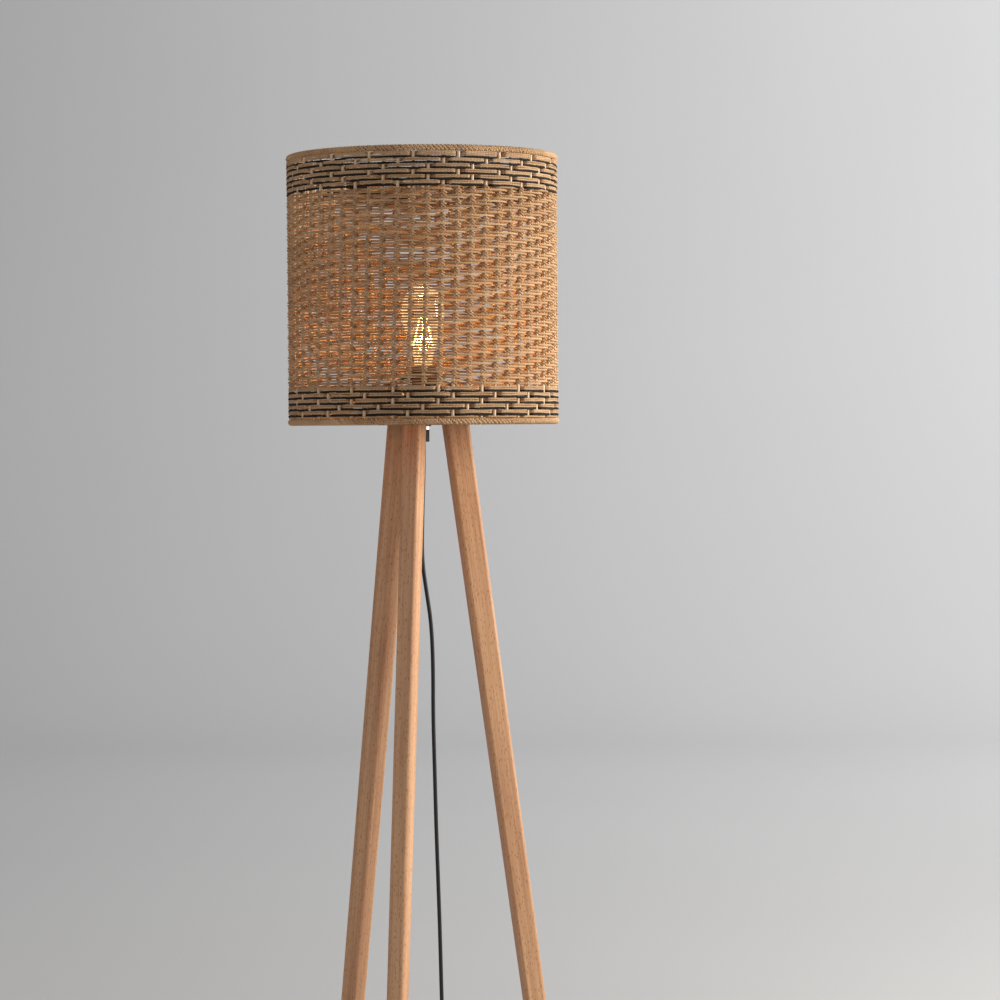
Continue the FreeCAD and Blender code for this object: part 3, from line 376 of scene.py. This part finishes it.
# ------------------------------------------------------------------ shade frame
# Steel wire powder-coated dark bronze: fitter ring, three spider arms and the wire inside each rim.
powder = Finish("powder_coat", Metallic=0.3)
peel = powder.noise(1200.0, 3.0)
powder.feed("Base Color", powder.blend(peel, (0.035, 0.030, 0.025), (0.075, 0.065, 0.055)))
powder.feed("Roughness", peel * 0.2 + 0.4)
powder.bump(peel, 0.00005)
powder.on("fitter_ring", "spider_arms", "bottom_ring", "top_ring")

# ------------------------------------------------------------------ canes
# Fifty-seven peeled round canes, 4.9 mm, stand from rim to rim, each leaning a little along the ring.
# Pale dry cane with fine lengthwise fibres and browner patches.
cane = Finish("peeled_cane", Roughness=0.6)
fibre = cane.noise(900.0, 4.0, (1.0, 1.0, 0.03))
patch = cane.noise(30.0, 2.0, (1.0, 1.0, 0.25))
browning = fibre * 0.8 + patch * 0.6 - 0.30
cane.feed("Base Color", cane.blend(browning, (0.93, 0.71, 0.47), (0.60, 0.40, 0.23)))
cane.bump(fibre, 0.0002, 0.8)
cane.on("stakes")

# ------------------------------------------------------------------ woven wall
# One length of natural twine winds up the shade as a spiral, outside two canes and behind the next two.
# The odd count of canes shifts each round by one, which draws the slanting lines of small holes.
cane_count = 57
cane_step = 2.0 * math.pi / cane_count
cane_half = 0.00245
cane_circle = 0.19605
cane_twist = math.radians(3.4)
cane_low, cane_high = (corner.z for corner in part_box("stakes"))
cane_points = np.array([v.co for v in nodes["stakes"].data.vertices])
feet = cane_points[cane_points[:, 2] < cane_low + 0.0001]
foot_phase = np.angle(np.exp(1j * cane_count * np.arctan2(feet[:, 1], feet[:, 0])).sum()) / cane_count
front_angle = math.atan2(toward_camera.y, toward_camera.x)
front_cane = foot_phase + cane_step * round((front_angle - foot_phase) / cane_step)
shade_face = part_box("woven_panel")[1].x


def cane_angle(number, level):
    """Azimuth of a cane, counted from the one in front, at a height."""
    return front_cane + number * cane_step + cane_twist * (level - cane_low) / (cane_high - cane_low)


def drift(draws, count, length, size):
    """Smooth random wander over a count of samples, closed on itself, of a given spread."""
    window = np.hanning(length + 2)[1:-1]
    rough = draws.standard_normal(count)
    wrapped = np.concatenate((rough[-length:], rough, rough[:length]))
    soft = np.convolve(wrapped, window, mode="same")[length:-length]
    return soft * size / soft.std()


class Strands:
    """Strands of twine laid one after another and made into one piece."""

    def __init__(self, sides):
        self.sides, self.points, self.faces, self.lay_out, self.tones = sides, [], [], [], []

    def lay(self, path, guide, half, tone, closed, lobe=0.0, pitch=0.005):
        """Lays a strand along a path; the guide direction says where its section starts."""
        count = len(path)
        after, before = np.roll(path, -1, axis=0), np.roll(path, 1, axis=0)
        if not closed:
            after[-1], before[0] = path[-1], path[0]
        along = after - before
        along /= np.linalg.norm(along, axis=1)[:, None]
        side = np.cross(along, guide)
        side /= np.linalg.norm(side, axis=1)[:, None]
        top = np.cross(side, along)
        steps = np.linalg.norm(np.roll(path, -1, axis=0) - path, axis=1)
        run = np.concatenate(([0.0], np.cumsum(steps)))
        twists = max(1, round(run[count] / pitch))
        around = np.arange(self.sides) * 2.0 * math.pi / self.sides
        slant = 2.0 * math.pi * twists * run[:count] / run[count]
        girth = np.reshape(half, (-1, 1)) * (1.0 + lobe * np.cos(2.0 * around[None, :] - slant[:, None]))
        turns = around[None, :, None]
        section = side[:, None, :] * np.cos(turns) + top[:, None, :] * np.sin(turns)
        start = sum(len(p) for p in self.points)
        self.points.append((path[:, None, :] + section * girth[:, :, None]).reshape(-1, 3))
        ring = np.arange(count if closed else count - 1)[:, None]
        corner = np.arange(self.sides)[None, :]
        near, far = ring * self.sides, (ring + 1) % count * self.sides
        over = (corner + 1) % self.sides
        quads = np.stack((near + corner, near + over, far + over, far + corner), axis=2)
        self.faces.append(quads.reshape(-1, 4) + start)
        u0, u1 = run[ring] + 0.0 * corner, run[ring + 1] + 0.0 * corner
        v0, v1 = (corner + 0.0 * ring) / self.sides, (corner + 1.0 + 0.0 * ring) / self.sides
        lay_out = np.stack((u0, v0, u0, v1, u1, v1, u1, v0), axis=2)
        self.lay_out.append(lay_out.reshape(-1, 2))
        self.tones.append(np.repeat(np.broadcast_to(tone, count), self.sides))

    def piece(self, name, slot, stands_for, finish):
        """Makes the mesh, which rides on the lamp's own body."""
        points, faces = np.concatenate(self.points), np.concatenate(self.faces)
        mesh = bpy.data.meshes.new(name)
        mesh.vertices.add(len(points))
        mesh.vertices.foreach_set("co", points.ravel())
        mesh.loops.add(faces.size)
        mesh.loops.foreach_set("vertex_index", faces.ravel())
        mesh.polygons.add(len(faces))
        mesh.polygons.foreach_set("loop_start", np.arange(0, faces.size, 4))
        mesh.polygons.foreach_set("use_smooth", np.ones(len(faces), dtype=bool))
        mesh.uv_layers.new(name="lay").data.foreach_set("uv", np.concatenate(self.lay_out).ravel())
        mesh.attributes.new("tone", "FLOAT", "POINT").data.foreach_set("value", np.concatenate(self.tones))
        mesh.update()
        made = bpy.data.objects.new(name, mesh)
        scene.collection.objects.link(made)
        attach(made, "root")
        if stands_for:
            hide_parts(stands_for)
        finish.on(made)


def jute(name, pale, deep, pitch, relief):
    """Twisted bast twine: slanting plies with painted shade in the grooves between them, fine fibres and
    slow changes of colour along each strand.
    """
    twine = Finish(name, Roughness=0.85, Specular_IOR_Level=0.2)
    lay = twine.node("UVMap", {"uv_map": "lay"})
    along, across = (twine.node("SeparateXYZ", {}, {"Vector": lay}, part) for part in (0, 1))
    plies = 2.0
    ply_ridges_and_shade = (along * (2.0 * math.pi / pitch) - across * (2.0 * math.pi * plies)).sine() * 0.5 + 0.5
    fibres = twine.noise(1700.0, 3.0)
    patches = twine.noise(60.0, 3.0)
    tone = twine.node("Attribute", {"attribute_name": "tone"}, {}, "Fac")
    # The ply term makes raised plies paler and the grooves between them darker: painted shade in the twist.
    share = tone + fibres * 0.5 + patches * 0.5 - ply_ridges_and_shade * 0.30 - 0.35
    twine.feed("Base Color", twine.blend(share, pale, deep))
    twine.bump(ply_ridges_and_shade * 0.7 + fibres * 0.5, relief, 0.9)
    return twine


def around_shade(angle, radius, level):
    return np.stack((radius * np.cos(angle), radius * np.sin(angle), level), axis=1)


upward = np.array((0.0, 0.0, 1.0))
wall_draws = np.random.default_rng(41)
wall_low, wall_high = (corner.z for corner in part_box("woven_panel"))
twine_half = 0.00162
row_pitch = 0.0041
rounds = round((wall_high - wall_low) / row_pitch)
cuts = 4
count = rounds * cane_count * cuts
passed = np.arange(count) / cuts
level = wall_low + (wall_high - wall_low) * (np.arange(count) + 0.5) / count
level += drift(wall_draws, count, 9, 0.00020) + drift(wall_draws, count, cane_count * cuts, 0.00022)
swing = np.clip(1.5 * np.cos(math.pi * (passed - 0.5) / 2.0), -1.0, 1.0)
radius = cane_circle + (cane_half + twine_half) * swing + drift(wall_draws, count, 5, 0.00015)
radius = np.minimum(radius, shade_face - twine_half)
half = twine_half * (1.0 + drift(wall_draws, count, 7, 0.07))
tone = 0.5 + drift(wall_draws, count, 160, 0.13)
wall = Strands(6)
wall.lay(around_shade(cane_angle(-passed, level), radius, level), upward, half, tone, False)
natural_twine = jute("natural_twine", (0.76, 0.505, 0.280), (0.35, 0.180, 0.080), 0.0042, 0.00030)
wall.piece("woven_wall", "jute", "woven_panel", natural_twine)

# Wherever it goes behind a cane, the twine also takes a turn round it, which shows as slanting knobs.
wrap_half = 0.00150
wrap_slope = 0.0013
wrap_ring = cane_half + 0.0008
wrap_bend = np.linspace(-1.75, 1.75, 6)
wraps = Strands(4)
for crossing in np.flatnonzero(np.cos(math.pi * (np.arange(rounds * cane_count) - 0.5) / 2.0) < 0.0):
    middle = wall_low + (wall_high - wall_low) * (crossing + 0.5) / (rounds * cane_count)
    angle = cane_angle(-crossing, middle)
    outward = np.array((math.cos(angle), math.sin(angle), 0.0))
    sideways = np.array((-math.sin(angle), math.cos(angle), 0.0))
    ring = wrap_ring + wall_draws.uniform(-0.0002, 0.0003)
    slope = wrap_slope * wall_draws.uniform(0.7, 1.3)
    path = outward * cane_circle + upward * (middle + wall_draws.uniform(-0.0003, 0.0003))
    path = path + ring * (np.cos(wrap_bend)[:, None] * outward + np.sin(wrap_bend)[:, None] * sideways)
    path = path - slope * wrap_bend[:, None] * upward
    wraps.lay(path, upward, wrap_half, 0.5 + wall_draws.uniform(-0.18, 0.18), False)
wraps.piece("woven_wraps", "jute", None, natural_twine)

# ------------------------------------------------------------------ borders
# Courses of three cords side by side, two natural above one black, outside two canes and behind the third.
# Five courses end the wall below and six above; which canes stay bare changes from course to course.
border_half = 0.00134
black_half = 0.00172
course_cuts = 14
twist_pitch = 0.0052
border_natural = jute("border_twine", (0.74, 0.505, 0.295), (0.32, 0.172, 0.084), 0.0046, 0.00034)
border_black = jute("black_twine", (0.030, 0.022, 0.018), (0.010, 0.008, 0.007), 0.0046, 0.00015)


def course_cord(strands, draws, level, bare, half, lobe, wander):
    """One ring of cord that dives sharply behind every third cane."""
    count = cane_count * course_cuts
    passed = np.arange(count) / course_cuts
    off = np.abs((passed - bare + 1.5) % 3.0 - 1.5)
    dive = np.clip((off - 0.14) / 0.28, 0.0, 1.0)
    swing = 2.0 * dive * dive * (3.0 - 2.0 * dive) - 1.0
    radius = cane_circle + (cane_half + half) * swing + drift(draws, count, 25, 0.00012)
    radius = np.minimum(radius, shade_face - half * (1.0 + lobe))
    levels = level + drift(draws, count, 2 * course_cuts, wander)
    tone = 0.5 + draws.uniform(-0.10, 0.10) + drift(draws, count, 60, 0.08)
    ring = around_shade(cane_angle(passed, levels), radius, levels)
    strands.lay(ring, upward, half, tone, True, lobe, twist_pitch)


def border(name, black_levels, bare_canes, spare_levels, draws, stands_for):
    """A whole border, natural cords and black ones; spare levels get one thin natural cord each."""
    natural, black = Strands(5), Strands(5)
    for level, bare in zip(black_levels, bare_canes):
        course_cord(black, draws, level, bare, black_half, 0.08, 0.00032)
        for cord in (0, 1):
            above = level + black_half + border_half * (2 * cord + 1)
            course_cord(natural, draws, above, bare, border_half, 0.08, 0.00022)
    for level in spare_levels:
        course_cord(natural, draws, level, bare_canes[0], spare_half, 0.08, 0.00015)
    natural.piece(name + "_natural", "border_jute", stands_for, border_natural)
    black.piece(name + "_black", "border_jute", None, border_black)


spare_half = 0.00120
shade_low, shade_high = rim_low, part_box("top_rim_wrap")[1].z
bottom_levels = [shade_low + rise for rise in (0.0479, 0.0395, 0.0311, 0.0227, 0.0143)]
top_levels = [shade_high - drop for drop in (0.0184, 0.0262, 0.0342, 0.0422, 0.0502, 0.0580)]
border("bottom_border", bottom_levels, (1, 2, 1, 0, 2), [shade_low + 0.0112], np.random.default_rng(7),
       "bottom_band")
border("top_border", top_levels, (2, 1, 0, 2, 0, 1), [shade_high - 0.0107], np.random.default_rng(8),
       "top_band")


# ------------------------------------------------------------------ wound rims
# Each rim wire is wound over with natural twine in a close pass and a sparser crossing one.
# The winding hides the ends of the canes and makes a rounded edge.
def wound_rim(name, node, draws):
    """Helical windings round a rim wire, leaning one way and then the other."""
    low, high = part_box(node)
    winding = Strands(5)
    rim_half = 0.00125
    wrap_reach = 0.00525
    turn_cuts = 8
    half_tall = (high.z - low.z) / 2.0 - rim_half
    half_deep = wrap_reach - rim_half
    for turns, lean, swell, way in ((420, 1.6, 0.94, 1.0), (200, -2.6, 1.0, -1.0)):
        count = turns * turn_cuts
        turned = np.arange(count) / turn_cuts
        phase = 2.0 * math.pi * turned * way
        slip = drift(draws, count, 16, 0.14)
        angle = (turned + lean * 0.25 * np.sin(phase) + slip) * 2.0 * math.pi / turns
        radius = high.x - wrap_reach + half_deep * swell * np.cos(phase)
        level = (low.z + high.z) / 2.0 + half_tall * swell * np.sin(phase)
        ringward = np.stack((-np.sin(angle), np.cos(angle), 0.0 * angle), axis=1)
        tone = 0.5 + drift(draws, count, 120, 0.12)
        winding.lay(around_shade(angle, radius, level), ringward, rim_half, tone, True)
    winding.piece(name, "jute", node, natural_twine)


wound_rim("bottom_rim_winding", "bottom_rim_wrap", np.random.default_rng(21))
wound_rim("top_rim_winding", "top_rim_wrap", np.random.default_rng(22))

# ------------------------------------------------------------------ bulb
# Clear pear-shaped glass blown thin, a glass stem, and four lit filaments held by fine nickel wires.
# The glass passes light straight through, with reflections and a faint warm glow painted into it as
# emission.
glass = Finish("clear_glass", Roughness=0.03, Metallic=1.0, Emission_Strength=0.8)
ripple = glass.noise(12.0)
glass.feed("Base Color", glass.blend(ripple, (0.92, 0.88, 0.82), (1.0, 0.98, 0.94)))
# The glass's emission is painted light: a warm glow standing in for the filaments' light in the envelope
# and stem.
glass.feed("Emission Color", glass.blend(ripple, (1.0, 0.66, 0.30), (1.0, 0.74, 0.38)))
edge_gloss = glass.node("Fresnel", {}, {"IOR": 1.45})
see_through = glass.node("BsdfTransparent", {}, {"Color": (0.98, 0.96, 0.92, 1.0)})
shown_glass = glass.node("MixShader", {}, {0: edge_gloss * 0.22 + 0.14, 1: see_through,
                                           2: Wire(glass.shader.outputs[0])})
glass.tree.links.new(shown_glass.socket, glass.tree.nodes["Material Output"].inputs["Surface"])
glass.on("bulb_glass", "bulb_stem")
vitrite = Finish("black_glass", Roughness=0.12)
bubbles = vitrite.noise(700.0)
vitrite.feed("Base Color", vitrite.blend(bubbles, (0.006, 0.006, 0.009), (0.016, 0.015, 0.02)))
vitrite.on("bulb_insulator")
glow = Finish("lit_filament", Emission_Strength=9.0)
flicker = glow.noise(200.0)
glow.feed("Emission Color", glow.blend(flicker, (1.0, 0.55, 0.16), (1.0, 0.68, 0.26)))
glow.feed("Base Color", glow.blend(flicker, (0.9, 0.6, 0.2), (1.0, 0.7, 0.3)))
glow.on("bulb_filaments")

stem_low, stem_high = (corner.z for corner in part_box("bulb_stem"))
thread_low, thread_high = (corner.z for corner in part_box("bulb_filaments"))
support = bpy.data.curves.new("filament_supports", "CURVE")
support.dimensions = "3D"
support.bevel_depth = 1.0
support.bevel_resolution = 2
support_half = 0.0003
foot_radius, head_radius, stem_half = 0.0145, 0.0055, 0.0035
support_paths = [[(0.0, 0.0, stem_high - 0.002), (0.0, 0.0, thread_high)]]
foot_wire = ((stem_half, stem_low + 0.018), (0.011, stem_low + 0.026), (foot_radius, thread_low + 0.0006))
head_wire = ((0.0, thread_high - 0.001), (0.003, thread_high + 0.0008), (head_radius, thread_high - 0.0005))
for quarter in range(4):
    angle = math.radians(20.0 + 90.0 * quarter)
    ray = Vector((math.cos(angle), math.sin(angle), 0.0))
    for wire in (foot_wire, head_wire):
        support_paths.append([ray * out + Vector((0.0, 0.0, rise)) for out, rise in wire])
for path in support_paths:
    spline = support.splines.new("POLY")
    spline.points.add(len(path) - 1)
    for point, place in zip(spline.points, path):
        point.co = (*place, 1.0)
        point.radius = support_half
supports = bpy.data.objects.new("filament_supports", support)
scene.collection.objects.link(supports)
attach(supports, "bulb")
nickel.on(supports)

bulb_light = bpy.data.objects.new("bulb_light", bpy.data.lights.new("bulb_light", "POINT"))
bulb_light.data.energy = 1.9
bulb_light.data.color = (1.0, 0.50, 0.17)
bulb_light.data.shadow_soft_size = 0.015
bulb_light.location = (0.0, 0.0, (thread_low + thread_high) / 2.0)
scene.collection.objects.link(bulb_light)

# ------------------------------------------------------------------ foot switch
# Black moulded tray and cover with a satin sprung button; rubber sleeves guard the cord at both ends.
moulding("switch_shell", 0.013, 0.42, 1800.0, 0.00009).on("switch_base", "switch_cover", "switch_block")
moulding("button_satin", 0.024, 0.28, 1800.0, 0.00004).on("switch_button")
moulding("sleeve_rubber", 0.012, 0.60, 700.0, 0.00010).on("switch_sleeves", "plug_sleeve")
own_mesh(nodes["switch_spring"])

# ------------------------------------------------------------------ plug
# Flat two-pin plug moulded in matt black round its nickel-plated pins, at the end of the coiled cord.
moulding("plug_shell", 0.011, 0.45, 1500.0, 0.00008).on("plug_body")

# ------------------------------------------------------------------ studio
# A pale grey seamless sweep: level floor that curves up far behind the lamp, and soft light from the right.
sweep_flat, sweep_bend, sweep_top, sweep_half = 5.2, 2.4, 7.0, 9.0
profile = [(-9.0, 0.0), (sweep_flat, 0.0)]
for step in range(1, 17):
    bend = math.pi / 2.0 * step / 16.0
    profile.append((sweep_flat + sweep_bend * math.sin(bend), sweep_bend * (1.0 - math.cos(bend))))
profile.append((sweep_flat + sweep_bend, sweep_top))
corners = [camera_right * aside - toward_camera * away + Vector((0.0, 0.0, up))
           for away, up in profile for aside in (-sweep_half, sweep_half)]
strips = [(2 * i, 2 * i + 1, 2 * i + 3, 2 * i + 2) for i in range(len(profile) - 1)]
sweep_mesh = bpy.data.meshes.new("sweep")
sweep_mesh.from_pydata(corners, [], strips)
sweep_mesh.polygons.foreach_set("use_smooth", [True] * len(sweep_mesh.polygons))
sweep = bpy.data.objects.new("sweep", sweep_mesh)
scene.collection.objects.link(sweep)
paper = Finish("sweep_paper", Roughness=0.95, Specular_IOR_Level=0.1)
mottle = paper.noise(0.6)
paper.feed("Base Color", paper.blend(mottle, (0.52, 0.52, 0.52), (0.56, 0.56, 0.56)))
paper.on(sweep)


def softbox(name, turn, reach, rise, aim, size, power, tint):
    """Rectangular area light at a turn to the right of the camera, a reach and a rise."""
    heading = view_turn + math.radians(turn)
    place = Vector((math.sin(heading), -math.cos(heading), 0.0)) * reach + Vector((0.0, 0.0, rise))
    light = bpy.data.objects.new(name, bpy.data.lights.new(name, "AREA"))
    light.data.shape = "RECTANGLE"
    light.data.size, light.data.size_y = size
    light.data.energy = power
    light.data.color = tint
    light.matrix_world = facing(place, aim)
    scene.collection.objects.link(light)


lamp_middle = Vector((0.0, 0.0, 0.9))
softbox("key", 82.0, 3.0, 1.7, lamp_middle, (1.0, 1.8), 122.0, (1.0, 0.975, 0.92))
softbox("fill", -35.0, 4.5, 2.2, lamp_middle, (3.0, 3.0), 24.0, (1.0, 0.955, 0.985))
wall_aim = camera_right * 2.2 - toward_camera * 7.4 + Vector((0.0, 0.0, 2.2))
softbox("wall_wash", 118.0, 5.5, 4.0, wall_aim, (4.0, 3.0), 390.0, (1.0, 1.0, 1.0))
scene.world = bpy.data.worlds.new("studio_air")
scene.world.use_nodes = True
scene.world.node_tree.nodes["Background"].inputs["Color"].default_value = (0.97, 0.97, 1.0, 1.0)
scene.world.node_tree.nodes["Background"].inputs["Strength"].default_value = 0.30
scene.view_settings.view_transform = "Standard"
